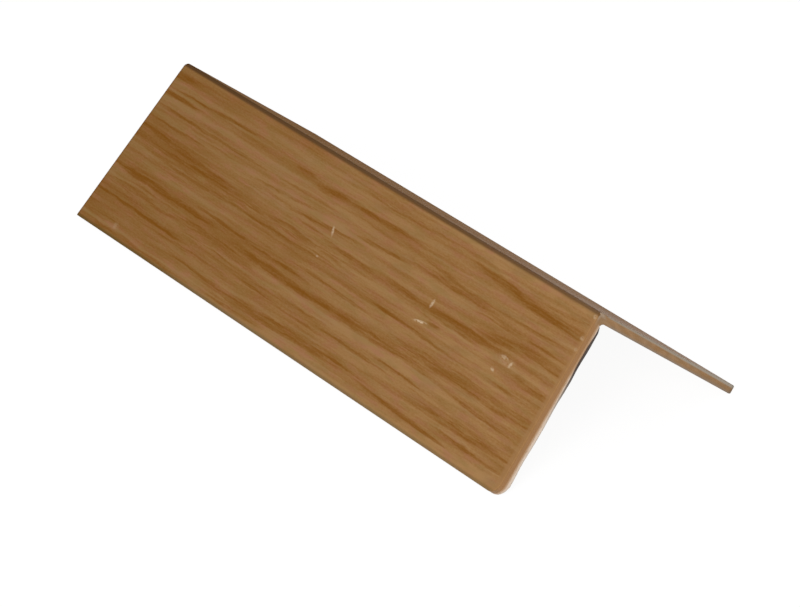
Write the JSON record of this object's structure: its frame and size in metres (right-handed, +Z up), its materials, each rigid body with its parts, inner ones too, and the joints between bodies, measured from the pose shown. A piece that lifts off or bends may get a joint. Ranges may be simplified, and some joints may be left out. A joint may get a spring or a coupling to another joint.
{
  "type": "corner guard moulding",
  "caption": "Right-angle corner guard strip with a woodgrain face, which covers and protects the outside corner of a wall or panel.",
  "frame": {"origin": "on the surface that the strip stands on, below the middle of its length and midway between its two free edges", "axes": "+Z up through the outer corner, +X along the strip towards its square near cut, front leg falling towards -Y and rear leg towards +Y"},
  "size_m": [0.12, 0.0422, 0.0218],
  "materials": {
    "woodgrain_plastic": "tan rigid plastic with a printed oak woodgrain film on its outer faces, satin to semi-gloss"
  },
  "bodies": {
    "root": {"corner_guard": "woodgrain_plastic"}
  },
  "joints": []
}
